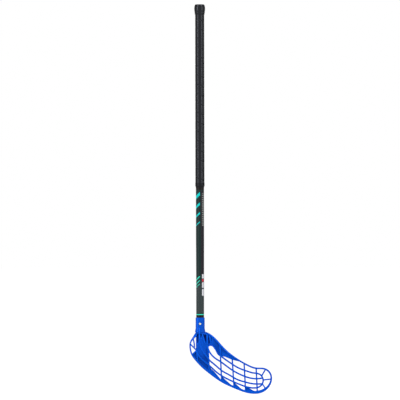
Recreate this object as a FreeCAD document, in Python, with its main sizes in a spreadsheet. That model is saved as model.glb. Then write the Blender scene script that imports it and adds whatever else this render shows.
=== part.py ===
import FreeCAD, Part
import math
import os

import Sketcher
from FreeCAD import Placement, Rotation, Vector

# A floorball stick: a tapered tube with a wound grip and a rubber end cap, and a ribbed blade below.
# The tube's axis is Z, the toe points along +X and the blade's hollow face looks along -Y.
# The origin lies on the axis, halfway along the grip, where the stick is held.

# Driving dimensions in millimetres, with the lie of the blade in degrees
SIZES = {
    # shaft
    "tube_length": 960.0,
    "tube_upper_diameter": 24.0,
    "tube_lower_diameter": 23.2,
    "tube_wall": 1.8,
    "taper_start": 700.0,
    "taper_length": 160.0,
    # end cap
    "knob_diameter": 31.7,
    "knob_height": 30.0,
    "knob_base_diameter": 28.8,
    "knob_top_diameter": 29.0,
    "knob_bulge_drop": 9.0,
    "knob_bulge_radius": 9.0,
    "knob_edge_radius": 3.0,
    "cap_crown": 5.0,
    "plug_length": 36.0,
    "plug_wall": 2.5,
    "cap_fit": 0.05,
    # grip
    "grip_length": 504.0,
    "tape_thickness": 1.2,
    "tape_edge_step": 0.3,
    "tape_pitch": 27.5,
    "tape_gap": 0.7,
    "seat_gap": 0.1,
    "band_overlap": 9.0,
    "band_tail": 5.0,
    "band_thickness": 0.35,
    # blade socket and screw
    "socket_depth": 44.4,
    "socket_length": 43.5,
    "socket_wall": 1.5,
    "socket_floor": 3.0,
    "socket_chamfer": 0.6,
    "flare_diameter": 30.0,
    "flare_height": 12.0,
    "flare_lip": 2.4,
    "screw_drop": 18.5,
    "screw_diameter": 3.5,
    "screw_length": 7.5,
    "screw_point": 2.0,
    "screw_head_diameter": 6.6,
    "screw_head_height": 2.2,
    "screw_head_radius": 1.1,
    "screw_recess_span": 3.8,
    "screw_recess_slot": 1.1,
    "screw_recess_depth": 1.3,
    "screw_seat_depth": 0.6,
    "screw_head_room": 0.3,
    "screw_fit": 0.05,
    # blade
    "blade_reach": 210.7,
    "blade_fall": 180.0,
    "blade_depth": 8.6,
    "cross_depth": 6.4,
    "plate_depth": 3.2,
    "rim_width": 4.2,
    "rib_width": 4.0,
    "cross_width": 3.6,
    "strut_width": 3.3,
    "bead_width": 2.4,
    "hook_radius": 850.0,
    "cup_radius": 450.0,
    "shell_span": 130.0,
    "blade_lie": 25.0,
    "pocket_floor": 0.8,
    "crest_width": 2.6,
    "crest_height": 1.1,
    "crest_drop": 33.0,
    "overrun": 20.0,
}

# The blade's drawing, in shares of its reach from the shaft's axis and of its fall below the socket.
# Each point is (reach share, fall share). The rim runs from the socket over the toe and back round the heel.
RIM_SHARES = [
    (0.051, -0.018), (0.121, 0.013), (0.218, 0.103), (0.311, 0.225), (0.412, 0.338), (0.535, 0.441),
    (0.666, 0.527), (0.784, 0.575), (0.895, 0.583), (0.951, 0.617), (0.992, 0.686), (1.000, 0.751),
    (0.985, 0.834), (0.941, 0.914), (0.867, 0.976), (0.763, 1.000), (0.625, 0.978), (0.465, 0.909),
    (0.306, 0.821), (0.146, 0.692), (0.020, 0.570), (-0.066, 0.462), (-0.122, 0.369), (-0.147, 0.263),
    (-0.142, 0.160), (-0.108, 0.088), (-0.077, 0.028), (-0.047, -0.018),
]
# The rim's width at each of those points, as a share of its width along the top edge
RIM_WIDTH_SHARES = [
    1.0, 1.0, 1.0, 1.0, 1.0, 1.0, 1.0, 1.0, 1.0, 1.05, 1.05, 1.05, 1.2, 1.5, 1.9, 1.9, 1.5, 1.4,
    1.4, 1.4, 1.3, 1.1, 0.95, 0.85, 0.85, 1.25, 1.9, 1.75,
]
# One rib runs below the wing to the toe, turns round inside it and comes back above the lower rim to the neck
HAIRPIN_RIB_SHARES = [
    (0.283, 0.385), (0.345, 0.439), (0.445, 0.519), (0.546, 0.588), (0.651, 0.633), (0.742, 0.663),
    (0.806, 0.673), (0.846, 0.700), (0.872, 0.749), (0.876, 0.797), (0.860, 0.847), (0.820, 0.890),
    (0.759, 0.906), (0.658, 0.893), (0.572, 0.860), (0.465, 0.808), (0.345, 0.740), (0.239, 0.661),
    (0.121, 0.537), (0.027, 0.444), (-0.027, 0.369), (-0.052, 0.300),
]
UPPER_RIB_SHARES = [
    (0.098, 0.124), (0.101, 0.214), (0.119, 0.292), (0.199, 0.415), (0.280, 0.477), (0.400, 0.580),
    (0.493, 0.650), (0.599, 0.709), (0.733, 0.753), (0.798, 0.756), (0.872, 0.743),
]
LOWER_RIB_SHARES = [
    (-0.010, 0.116), (0.003, 0.222), (0.034, 0.304), (0.089, 0.393), (0.122, 0.446), (0.213, 0.539),
    (0.301, 0.627), (0.400, 0.692), (0.518, 0.771), (0.626, 0.811), (0.732, 0.838), (0.798, 0.842),
    (0.865, 0.838),
]
WING_BEAD_SHARES = [(0.107, 0.240), (0.143, 0.214), (0.169, 0.221), (0.224, 0.308), (0.283, 0.385)]
STRUT_SHARES = [
    [(0.856, 0.712), (0.912, 0.597)],
    [(0.873, 0.777), (0.995, 0.760)],
    [(0.863, 0.836), (0.920, 0.934)],
    [(-0.141, 0.189), (-0.052, 0.293)],
    [(-0.112, 0.363), (-0.054, 0.299)],
    [(-0.104, 0.095), (-0.084, 0.178), (-0.083, 0.251)],
    [(-0.046, 0.312), (-0.036, 0.498)],
]
CROSS_RIB_SHARES = [
    [(0.108, 0.222), (0.130, 0.690)],
    [(0.273, 0.160), (0.300, 0.830)],
    [(0.442, 0.350), (0.472, 0.920)],
    [(0.611, 0.480), (0.633, 0.990)],
    [(0.779, 0.565), (0.796, 1.010)],
]
# Thin plates: the neck's flank, the wing under the top edge and the gussets along the lower rim
PLATE_SHARES = [
    [(-0.058, -0.016), (0.112, -0.016), (0.111, 0.229), (0.129, 0.679), (0.051, 0.679), (-0.137, 0.393),
     (-0.103, 0.356), (-0.058, 0.304)],
    [(0.110, 0.238), (0.143, 0.214), (0.167, 0.221), (0.224, 0.312), (0.280, 0.387), (0.345, 0.398),
     (0.436, 0.444), (0.546, 0.477), (0.637, 0.506), (0.498, 0.287), (0.274, 0.059), (0.107, -0.031)],
    [(0.124, 0.549), (0.150, 0.594), (0.199, 0.647), (0.239, 0.702), (0.297, 0.784), (0.288, 0.842),
     (0.126, 0.712)],
    [(0.294, 0.715), (0.337, 0.761), (0.386, 0.811), (0.426, 0.852), (0.470, 0.891), (0.456, 0.957),
     (0.295, 0.859)],
    [(0.465, 0.820), (0.507, 0.854), (0.545, 0.895), (0.585, 0.932), (0.630, 0.963), (0.623, 1.022),
     (0.467, 0.949)],
    [(0.626, 0.896), (0.683, 0.914), (0.732, 0.945), (0.793, 0.971), (0.791, 1.038), (0.629, 1.022)],
]
# Pockets between the flutes of the neck's front
POCKET_SHARES = [
    [(-0.044, 0.028), (-0.023, 0.028), (-0.022, 0.148), (-0.033, 0.186), (-0.044, 0.168)],
    [(0.002, 0.028), (0.022, 0.028), (0.020, 0.065), (0.005, 0.111)],
    [(0.040, 0.028), (0.087, 0.039), (0.089, 0.167), (0.080, 0.178), (0.064, 0.124), (0.048, 0.073)],
    [(0.108, 0.049), (0.121, 0.056), (0.140, 0.180), (0.111, 0.189)],
    [(0.144, 0.072), (0.158, 0.085), (0.169, 0.150), (0.161, 0.150)],
]
# Crests that run from the socket down the neck's front
CREST_SHARES = [
    [(-0.011, -0.105), (-0.011, 0.030), (-0.010, 0.116), (0.003, 0.222), (0.034, 0.304), (0.089, 0.393)],
    [(0.027, 0.020), (0.048, 0.105), (0.069, 0.181)],
    [(0.098, 0.030), (0.098, 0.124), (0.101, 0.214)],
    [(0.128, 0.045), (0.143, 0.120), (0.157, 0.194)],
]
# Oval sections of the neck below the socket: how far they fall, how far they reach on the toe's side,
# then half their depth and how far they lean to the front, as shares of the socket's radius.
# On the heel's side all reach equally far.
NECK_HEEL_SHARE = -0.058
NECK_SECTION_SHARES = [
    (0.036, 0.115, 0.86, 0.00),
    (0.103, 0.168, 0.70, 0.00),
    (0.180, 0.138, 0.54, 0.00),
    (0.260, 0.104, 0.40, 0.00),
    (0.350, 0.095, 0.24, 0.01),
    (0.435, 0.090, 0.11, 0.03),
]
# Where the blade's double curve is tangent to the plane of the shaft
HOOK_START_SHARE = (0.095, 0.340)
SHELL_SWEEP_DEGREES = 60.0
TAPE_POINTS_PER_QUARTER_TURN = 5
# How far the tape's first turn starts below the grip beyond one whole turn, as a share of a turn
TAPE_LEAD_SHARE = 0.5

doc = FreeCAD.newDocument("floorball_stick")
sheet = doc.addObject("Spreadsheet::Sheet", "sizes")
for row, (alias, number) in enumerate(SIZES.items(), start=1):
    sheet.set(f"A{row}", alias)
    sheet.set(f"B{row}", str(number))
    sheet.setAlias(f"B{row}", alias)
doc.recompute()

# Heights that several pieces share, written in the sheet's sizes
TUBE_TOP = "(sizes.grip_length / 2 + sizes.knob_height - sizes.cap_crown)"
TUBE_BOTTOM = f"({TUBE_TOP} - sizes.tube_length)"
MOUTH = f"({TUBE_BOTTOM} + sizes.socket_depth)"
SOCKET_BASE = f"({MOUTH} - sizes.socket_length)"
SCREW_HEIGHT = f"({MOUTH} - sizes.screw_drop)"
UPPER_RADIUS = "(sizes.tube_upper_diameter / 2)"
LOWER_RADIUS = "(sizes.tube_lower_diameter / 2)"
BORE_RADIUS = f"({LOWER_RADIUS} + sizes.seat_gap)"
SOCKET_RADIUS = f"({BORE_RADIUS} + sizes.socket_wall)"
TAPE_INNER_RADIUS = f"({UPPER_RADIUS} + sizes.seat_gap)"
TAPE_OUTER_RADIUS = f"({TAPE_INNER_RADIUS} + sizes.tape_thickness)"
SCREW_SEAT = f"({SOCKET_RADIUS} - sizes.screw_seat_depth)"


def number_of(expression):
    """Value of an expression of the sheet's sizes."""
    return float(sheet.evalExpression(expression))


def plane_of(body, role):
    """One of a body's own origin planes."""
    return next(plane for plane in body.Origin.OriginFeatures if plane.Role == role)


def new_body(label):
    """Empty body with a label of its own."""
    body = doc.addObject("PartDesign::Body", label)
    body.Label = label
    return body


def new_sketch(body, name, role):
    """Sketch on one of the body's origin planes."""
    sketch = body.newObject("Sketcher::SketchObject", name)
    sketch.AttachmentSupport = [(plane_of(body, role), "")]
    sketch.MapMode = "FlatFace"
    return sketch


def bind(sketch, constraint, expression):
    """Add a dimension to a sketch and tie it to the sheet."""
    index = sketch.addConstraint(constraint)
    sketch.setExpression(f"Constraints[{index}]", expression)


def outline_sketch(body, name, role, corners):
    """Closed straight-sided outline whose corners are pairs of sheet expressions."""
    sketch = new_sketch(body, name, role)
    points = [Vector(number_of(across), number_of(up), 0) for across, up in corners]
    count = len(points)
    for index, point in enumerate(points):
        sketch.addGeometry(Part.LineSegment(point, points[(index + 1) % count]), False)
    for index in range(count):
        sketch.addConstraint(Sketcher.Constraint("Coincident", index, 2, (index + 1) % count, 1))
    for index, (across, up) in enumerate(corners):
        if across == "0":
            sketch.addConstraint(Sketcher.Constraint("PointOnObject", index, 1, -2))
        else:
            bind(sketch, Sketcher.Constraint("DistanceX", -1, 1, index, 1, points[index].x), across)
        if up == "0":
            sketch.addConstraint(Sketcher.Constraint("PointOnObject", index, 1, -1))
        else:
            bind(sketch, Sketcher.Constraint("DistanceY", -1, 1, index, 1, points[index].y), up)
    return sketch


def turn(body, corners):
    """Solid of revolution about the body's Z axis from corners given as radius and height."""
    profile = outline_sketch(body, "profile", "XZ_Plane", corners)
    turned = body.newObject("PartDesign::Revolution", "turned")
    turned.Profile = profile
    turned.ReferenceAxis = (profile, ["V_Axis"])
    turned.Angle = 360.0
    doc.recompute()
    return turned


def circle_edges(feature, radius, height):
    """Names of a turned solid's circular edges at a radius and a height."""
    slack = number_of("sizes.cap_fit") / 2
    names = []
    for index, edge in enumerate(feature.Shape.Edges, start=1):
        if not isinstance(edge.Curve, Part.Circle):
            continue
        same_radius = abs(edge.Curve.Radius - radius) < slack
        same_height = abs(edge.Curve.Center.z - height) < slack
        if same_radius and same_height:
            names.append(f"Edge{index}")
    return names


def round_edge(body, base, name, radius_alias, edge_radius, edge_height):
    """Round one circular edge of a turned solid."""
    fillet = body.newObject("PartDesign::Fillet", name)
    fillet.Base = (base, circle_edges(base, number_of(edge_radius), number_of(edge_height)))
    fillet.setExpression("Radius", f"sizes.{radius_alias}")
    doc.recompute()
    return fillet


def lift(obj, expression):
    """Set an object's height in the part's frame."""
    obj.setExpression(".Placement.Base.z", expression)


# Shaft: a tube whose outside and bore taper together, with a hole for the blade screw in its front wall

def make_shaft():
    body = new_body("shaft")
    taper_top = "(sizes.tube_length - sizes.taper_start)"
    taper_bottom = f"({taper_top} - sizes.taper_length)"
    upper_bore = f"({UPPER_RADIUS} - sizes.tube_wall)"
    lower_bore = f"({LOWER_RADIUS} - sizes.tube_wall)"
    turn(body, [
        (lower_bore, "0"),
        (LOWER_RADIUS, "0"),
        (LOWER_RADIUS, taper_bottom),
        (UPPER_RADIUS, taper_top),
        (UPPER_RADIUS, "sizes.tube_length"),
        (upper_bore, "sizes.tube_length"),
        (upper_bore, taper_top),
        (lower_bore, taper_bottom),
    ])
    hole = new_sketch(body, "screw_hole_outline", "XZ_Plane")
    hole_height = "sizes.socket_depth - sizes.screw_drop"
    hole_radius = "sizes.screw_diameter / 2 + sizes.screw_fit"
    centre = Vector(0, number_of(hole_height), 0)
    hole.addGeometry(Part.Circle(centre, Vector(0, 0, 1), number_of(hole_radius)), False)
    hole.addConstraint(Sketcher.Constraint("PointOnObject", 0, 3, -2))
    bind(hole, Sketcher.Constraint("DistanceY", -1, 1, 0, 3, centre.y), hole_height)
    bind(hole, Sketcher.Constraint("Radius", 0, number_of(hole_radius)), hole_radius)
    before = body.Shape.Volume
    pocket = body.newObject("PartDesign::Pocket", "screw_hole")
    pocket.Profile = hole
    pocket.Type = "ThroughAll"
    pocket.Reversed = True
    doc.recompute()
    front = body.Shape.isInside(Vector(0, -number_of(LOWER_RADIUS) + number_of("sizes.tube_wall") / 2,
                                       centre.y), number_of("sizes.screw_fit"), True)
    if body.Shape.Volume >= before or front:
        raise RuntimeError("the screw hole does not go through the front wall")
    lift(body, TUBE_BOTTOM)
    return body


# End cap: a barrel-shaped knob with a skirt over the tube and a hollow plug in its bore

def make_end_cap():
    body = new_body("end_cap")
    plug_radius = f"({UPPER_RADIUS} - sizes.tube_wall - sizes.cap_fit)"
    plug_bore = f"({plug_radius} - sizes.plug_wall)"
    skirt_bore = f"({UPPER_RADIUS} + sizes.cap_fit)"
    top = "(sizes.plug_length + sizes.cap_crown)"
    skirt = f"({top} - sizes.knob_height)"
    bulge = f"({top} - sizes.knob_bulge_drop)"
    knob = "(sizes.knob_diameter / 2)"
    knob_top = "(sizes.knob_top_diameter / 2)"
    turned = turn(body, [
        (plug_bore, "0"),
        (plug_radius, "0"),
        (plug_radius, "sizes.plug_length"),
        (skirt_bore, "sizes.plug_length"),
        (skirt_bore, skirt),
        ("(sizes.knob_base_diameter / 2)", skirt),
        (knob, bulge),
        (knob_top, top),
        ("0", top),
        ("0", "sizes.plug_length"),
        (plug_bore, "sizes.plug_length"),
    ])
    bulged = round_edge(body, turned, "knob_bulge", "knob_bulge_radius", knob, bulge)
    round_edge(body, bulged, "knob_edge", "knob_edge_radius", knob_top, top)
    lift(body, f"{TUBE_TOP} - sizes.plug_length")
    return body


# Grip: one strip of tape wound round the tube as a left-handed helix, cut square at both ends

def tape_point(radius, start, turn_count):
    """Point of the tape's helix after a number of turns from the start height."""
    angle = -2 * math.pi * turn_count
    return Vector(radius * math.cos(angle), radius * math.sin(angle), start + turn_count * tape_pitch)


def tape_edge(radius, start, first, last):
    """Smooth edge along the helix between two numbers of turns."""
    shares = [index / (TAPE_POINTS_PER_QUARTER_TURN - 1) for index in range(TAPE_POINTS_PER_QUARTER_TURN)]
    points = [tape_point(radius, start, first + (last - first) * share) for share in shares]
    slopes = []
    for point in (points[0], points[-1]):
        slope = Vector(2 * math.pi * point.y, -2 * math.pi * point.x, tape_pitch)
        slopes.append(slope * (last - first))
    curve = Part.BSplineCurve()
    curve.interpolate(Points=points, Parameters=shares, InitialTangent=slopes[0], FinalTangent=slopes[1],
                      Scale=False)
    return curve.toShape()


def winding(corners, turn_count):
    """Solid swept by a closed section of radius and height corners along the helix."""
    quarters = math.ceil(4 * turn_count)
    faces = []
    for quarter in range(quarters):
        span = (turn_count * quarter / quarters, turn_count * (quarter + 1) / quarters)
        edges = [tape_edge(radius, start, *span) for radius, start in corners]
        for edge, following in zip(edges, edges[1:] + edges[:1]):
            faces.append(Part.makeRuledSurface(edge, following))
    for turns in (0, turn_count):
        ring = [tape_point(radius, start, turns) for radius, start in corners]
        faces.append(Part.Face(Part.makePolygon(ring + ring[:1])))
    shell = Part.makeShell(faces)
    shell.sewShape()
    solid = Part.makeSolid(shell)
    if solid.Volume < 0:
        solid.reverse()
    return solid


def least_tape_gap(lower_radius, upper_radius, start, tape_width):
    """Least distance between one turn's upper edge and the next turn's lower edge, on points."""
    count = 16 * TAPE_POINTS_PER_QUARTER_TURN
    upper = [tape_point(upper_radius, start + tape_width, index / count) for index in range(count)]
    lower = [tape_point(lower_radius, start, 0.5 + index / count) for index in range(count)]
    return min(point.distanceToPoint(other) for point in upper for other in lower)


def make_grip_tape():
    inner = number_of(TAPE_INNER_RADIUS)
    outer = number_of(TAPE_OUTER_RADIUS)
    thin_edge = outer - number_of("sizes.tape_edge_step")
    tape_width = tape_pitch - number_of("sizes.tape_gap")
    grip_length = number_of("sizes.grip_length")
    lead_turns = 1 + TAPE_LEAD_SHARE
    start = -grip_length / 2 - tape_pitch * lead_turns
    corners = [(inner, start), (outer, start), (thin_edge, start + tape_width), (inner, start + tape_width)]
    tape = doc.addObject("Part::Feature", "wound_tape")
    tape.Shape = winding(corners, grip_length / tape_pitch + lead_turns)
    print(f"least gap between the tape's turns {least_tape_gap(outer, thin_edge, start, tape_width):.3f} mm")
    span = doc.addObject("Part::Cylinder", "grip_span")
    span.setExpression("Radius", f"{TAPE_OUTER_RADIUS} + sizes.overrun")
    span.setExpression("Height", "sizes.grip_length")
    lift(span, "-sizes.grip_length / 2")
    grip = doc.addObject("Part::Common", "grip_tape")
    grip.Base = tape
    grip.Tool = span
    return grip


# Finishing band: a thin sleeve over the grip's lower end that slopes down to the tube

def make_finishing_band():
    body = new_body("finishing_band")
    over_tape = f"({TAPE_OUTER_RADIUS} + sizes.seat_gap)"
    top = "(sizes.band_tail + sizes.band_overlap)"
    turn(body, [
        (TAPE_INNER_RADIUS, "0"),
        (f"{TAPE_INNER_RADIUS} + sizes.band_thickness", "0"),
        (f"{over_tape} + sizes.band_thickness", "sizes.band_tail"),
        (f"{over_tape} + sizes.band_thickness", top),
        (over_tape, top),
        (over_tape, "sizes.band_tail"),
        (TAPE_INNER_RADIUS, "sizes.band_tail"),
    ])
    lift(body, "-sizes.grip_length / 2 - sizes.band_tail")
    return body


# Blade: a ribbed lattice cut from double-curved shells, a fluted neck and a socket for the tube

def drawing_point(share):
    """Point of the blade's drawing plane."""
    reach_share, fall_share = share
    return Vector(reach_share * blade_reach, 0, socket_base - fall_share * blade_fall)


def smooth(points):
    """Smooth curve through points."""
    curve = Part.BSplineCurve()
    curve.interpolate(Points=points)
    return curve


def beside(points, offsets):
    """Points moved sideways in the drawing plane, to the right of the way along them."""
    curve = smooth(points)
    moved = []
    for point, offset in zip(points, offsets):
        along = curve.tangent(curve.parameter(point))[0]
        moved.append(point + Vector(along.z, 0, -along.x) * offset)
    return moved


def closed_face(*curves):
    """Flat face whose outline is the curves end to end, closed by straight lines."""
    edges = []
    for curve, following in zip(curves, curves[1:] + curves[:1]):
        edges.append(curve.toShape())
        gap_start = curve.value(curve.LastParameter)
        gap_end = following.value(following.FirstParameter)
        edges.append(Part.makeLine(gap_start, gap_end))
    return Part.Face(Part.Wire(edges))


def strip(shares, right, left):
    """Flat strip along a curve, with its two sides at given offsets to the right of it."""
    points = [drawing_point(share) for share in shares]
    right_side = smooth(beside(points, right))
    left_side = smooth(list(reversed(beside(points, left))))
    return closed_face(right_side, left_side)


def even_strip(shares, alias):
    """Flat strip of one width along a curve."""
    half = number_of(f"sizes.{alias}") / 2
    return strip(shares, [half] * len(shares), [-half] * len(shares))


def patch(shares):
    """Flat straight-sided face."""
    points = [drawing_point(share) for share in shares]
    return Part.Face(Part.makePolygon(points + points[:1]))


def joined(faces):
    """Overlapping flat faces joined into as few as possible."""
    return faces[0].multiFuse(faces[1:]).removeSplitter()


def inner_face():
    """The blade's area inside the middle of its rim."""
    points = [drawing_point(share) for share in RIM_SHARES]
    half = number_of("sizes.rim_width") / 2
    return closed_face(smooth(beside(points, [half * share for share in RIM_WIDTH_SHARES])))


def drawn(name, shape, back_depth, front_depth):
    """Drawing and the solid that it gives when it is drawn out through the blade's depth."""
    drawing = doc.addObject("Part::Feature", f"{name}_drawing")
    drawing.Shape = shape
    solid = doc.addObject("Part::Extrusion", f"{name}_block")
    solid.Base = drawing
    solid.DirMode = "Custom"
    solid.Dir = Vector(0, 1, 0)
    solid.Solid = True
    solid.setExpression("LengthFwd", back_depth)
    solid.setExpression("LengthRev", front_depth)
    return solid


def make_shell(name, depth_alias):
    """Double-curved shell that the blade's ribs or plates are cut from."""
    body = new_body(name)
    sketch = new_sketch(body, "section", "YZ_Plane")
    half_depth = f"sizes.{depth_alias} / 2"
    cup, span = number_of("sizes.cup_radius"), number_of("sizes.shell_span")
    centre = Vector(-cup, 0, 0)
    radii = [f"sizes.cup_radius - {half_depth}", f"sizes.cup_radius + {half_depth}"]
    for radius in map(number_of, radii):
        angle = math.asin(span / radius)
        arc = Part.ArcOfCircle(Part.Circle(centre, Vector(0, 0, 1), radius), -angle, angle)
        sketch.addGeometry(arc, False)
    for side in (1, 2):
        ends = [sketch.getPoint(index, side) for index in (0, 1)]
        sketch.addGeometry(Part.LineSegment(*ends), False)
    hook = number_of("sizes.hook_radius")
    sketch.addGeometry(Part.LineSegment(Vector(-hook, -span, 0), Vector(-hook, span, 0)), True)
    for line, side in ((2, 1), (3, 2)):
        sketch.addConstraint(Sketcher.Constraint("Coincident", 0, side, line, 1))
        sketch.addConstraint(Sketcher.Constraint("Coincident", 1, side, line, 2))
        sketch.addConstraint(Sketcher.Constraint("Horizontal", line))
    sketch.addConstraint(Sketcher.Constraint("Coincident", 0, 3, 1, 3))
    sketch.addConstraint(Sketcher.Constraint("PointOnObject", 0, 3, -1))
    bind(sketch, Sketcher.Constraint("DistanceX", 0, 3, -1, 1, cup), "sizes.cup_radius")
    for index, radius in enumerate(radii):
        bind(sketch, Sketcher.Constraint("Radius", index, number_of(radius)), radius)
    bind(sketch, Sketcher.Constraint("DistanceY", 2, 1, -1, 1, span), "sizes.shell_span")
    bind(sketch, Sketcher.Constraint("DistanceY", -1, 1, 3, 1, span), "sizes.shell_span")
    sketch.addConstraint(Sketcher.Constraint("Vertical", 4))
    bind(sketch, Sketcher.Constraint("DistanceX", 4, 1, -1, 1, hook), "sizes.hook_radius")
    bind(sketch, Sketcher.Constraint("DistanceY", 4, 1, -1, 1, span), "sizes.shell_span")
    bind(sketch, Sketcher.Constraint("DistanceY", -1, 1, 4, 2, span), "sizes.shell_span")
    doc.recompute()
    swept = body.newObject("PartDesign::Revolution", "swept")
    swept.Profile = sketch
    swept.ReferenceAxis = (sketch, ["Axis0"])
    swept.Midplane = True
    swept.Angle = SHELL_SWEEP_DEGREES
    body.Placement = Placement(drawing_point(HOOK_START_SHARE), Rotation(Vector(0, 1, 0), lie_degrees))
    doc.recompute()
    return body


def cut_from_shell(name, shape, depth_alias):
    """Part of a double-curved shell that lies inside a drawing."""
    block = drawn(name, shape, "sizes.shell_span", "sizes.shell_span")
    piece = doc.addObject("Part::Common", name)
    piece.Base = block
    piece.Tool = make_shell(f"{name}_shell", depth_alias)
    return piece


def round_section(name, radius, height):
    """Circle about the shaft's axis, for a loft."""
    section = doc.addObject("Part::Ellipse", name)
    section.setExpression("MajorRadius", radius)
    section.setExpression("MinorRadius", radius)
    lift(section, height)
    return section


def neck_ovals(name, extra):
    """Oval sections of the neck, grown by an extra radius."""
    ovals = []
    for index, (fall_share, toe_share, depth_share, lean_share) in enumerate(NECK_SECTION_SHARES, start=1):
        oval = doc.addObject("Part::Ellipse", f"{name}_{index}")
        half_width_share = (toe_share - NECK_HEEL_SHARE) / 2
        centre_share = (toe_share + NECK_HEEL_SHARE) / 2
        oval.setExpression("MajorRadius", f"{half_width_share} * sizes.blade_reach + {extra}")
        oval.setExpression("MinorRadius", f"{depth_share} * {SOCKET_RADIUS} + {extra}")
        oval.setExpression(".Placement.Base.x", f"{centre_share} * sizes.blade_reach")
        oval.setExpression(".Placement.Base.y", f"-{lean_share} * {SOCKET_RADIUS}")
        lift(oval, f"{SOCKET_BASE} - {fall_share} * sizes.blade_fall")
        ovals.append(oval)
    return ovals


def loft(name, sections):
    """Smooth solid through sections."""
    body = doc.addObject("Part::Loft", name)
    body.Sections = sections
    body.Solid = True
    return body


def make_neck():
    """Neck's body, from the round socket to the flat flank."""
    top = round_section("neck_top", SOCKET_RADIUS, f"{SOCKET_BASE} + sizes.flare_lip")
    return loft("neck", [top, *neck_ovals("neck_section", "0")])


def make_crests():
    """Crests that stand out from the neck's front and run up over the socket's flare."""
    top = round_section("crest_top", f"{SOCKET_RADIUS} + sizes.crest_height", f"{MOUTH} - sizes.crest_drop")
    flare = round_section("crest_flare", "(sizes.flare_diameter + sizes.crest_height) / 2",
                          f"{SOCKET_BASE} + sizes.flare_lip")
    lines = joined([even_strip(shares, "crest_width") for shares in CREST_SHARES])
    crests = doc.addObject("Part::Common", "crests")
    crests.Base = drawn("crest_lines", lines, "sizes.pocket_floor", f"{SOCKET_RADIUS} + sizes.overrun")
    crests.Tool = loft("crest_surface", [top, flare, *neck_ovals("crest_section", "sizes.crest_height")])
    return crests


def make_socket():
    """Outside of the socket: a collar that flares at its base, over a closed floor."""
    body = new_body("socket")
    base = "(sizes.socket_depth + sizes.socket_floor - sizes.socket_length)"
    top = "(sizes.socket_depth + sizes.socket_floor)"
    flare = "(sizes.flare_diameter / 2)"
    turn(body, [
        ("0", "0"),
        (BORE_RADIUS, "0"),
        (BORE_RADIUS, base),
        (flare, base),
        (flare, f"{base} + sizes.flare_lip"),
        (SOCKET_RADIUS, f"{base} + sizes.flare_height"),
        (SOCKET_RADIUS, f"{top} - sizes.socket_chamfer"),
        (f"{SOCKET_RADIUS} - sizes.socket_chamfer", top),
        ("0", top),
    ])
    lift(body, f"{TUBE_BOTTOM} - sizes.socket_floor")
    return body


def make_bore():
    """Space that the tube fills in the socket."""
    bore = doc.addObject("Part::Cylinder", "socket_bore")
    bore.setExpression("Radius", BORE_RADIUS)
    bore.setExpression("Height", "sizes.socket_depth + sizes.overrun")
    lift(bore, TUBE_BOTTOM)
    return bore


def front_cylinder(name, radius, start, length):
    """Cylinder that runs out of the socket's front, from a distance before the axis."""
    cylinder = doc.addObject("Part::Cylinder", name)
    cylinder.Placement.Rotation = Rotation(Vector(1, 0, 0), 90)
    cylinder.setExpression("Radius", radius)
    cylinder.setExpression("Height", length)
    cylinder.setExpression(".Placement.Base.y", f"-({start})")
    lift(cylinder, SCREW_HEIGHT)
    return cylinder


def fused(name, shapes):
    """Solids joined into one."""
    whole = doc.addObject("Part::MultiFuse", name)
    whole.Shapes = shapes
    whole.Refine = False
    return whole


def less(name, base, tool):
    """Solid with another cut out of it."""
    rest = doc.addObject("Part::Cut", name)
    rest.Base = base
    rest.Tool = tool
    rest.Refine = False
    return rest


def make_blade():
    frame_ribs = [
        even_strip(HAIRPIN_RIB_SHARES, "rib_width"),
        even_strip(UPPER_RIB_SHARES, "rib_width"),
        even_strip(LOWER_RIB_SHARES, "rib_width"),
        even_strip(WING_BEAD_SHARES, "bead_width"),
    ]
    frame_ribs += [even_strip(shares, "strut_width") for shares in STRUT_SHARES]
    inside = inner_face()
    rim_width = number_of("sizes.rim_width")
    rim = strip(RIM_SHARES, [rim_width * share for share in RIM_WIDTH_SHARES], [0] * len(RIM_SHARES))
    frame = joined([rim, *joined(frame_ribs).common(inside).Faces])
    crossings = Part.makeCompound([even_strip(shares, "cross_width").common(inside)
                                   for shares in CROSS_RIB_SHARES])
    plates = joined([patch(shares) for shares in PLATE_SHARES]).common(inside)
    pockets = Part.makeCompound([patch(shares) for shares in POCKET_SHARES])

    lattice = fused("lattice", [
        cut_from_shell("frame_ribs", frame, "blade_depth"),
        cut_from_shell("cross_ribs", crossings, "cross_depth"),
        cut_from_shell("plates", plates, "plate_depth"),
    ])
    hosel = fused("hosel", [make_socket(), make_neck()])
    moulding = fused("moulding", [fused("lattice_and_hosel", [lattice, hosel]), make_crests()])
    bored = less("bored_moulding", moulding, make_bore())
    screw_hole = front_cylinder("screw_hole_in_socket", "sizes.screw_diameter / 2 + sizes.screw_fit", "0",
                                f"{SOCKET_RADIUS} + sizes.overrun")
    drilled = less("drilled_moulding", bored, screw_hole)
    head_seat_radius = "sizes.screw_head_diameter / 2 + sizes.screw_head_room"
    screw_seat = front_cylinder("screw_seat", head_seat_radius, SCREW_SEAT, "sizes.overrun")
    seated = less("seated_moulding", drilled, screw_seat)
    neck_pockets = drawn("neck_pockets", pockets, "-sizes.pocket_floor", f"{SOCKET_RADIUS} + sizes.overrun")
    return less("blade", seated, neck_pockets)


# Blade screw: a pan-head screw through the front of the socket into the tube

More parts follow.
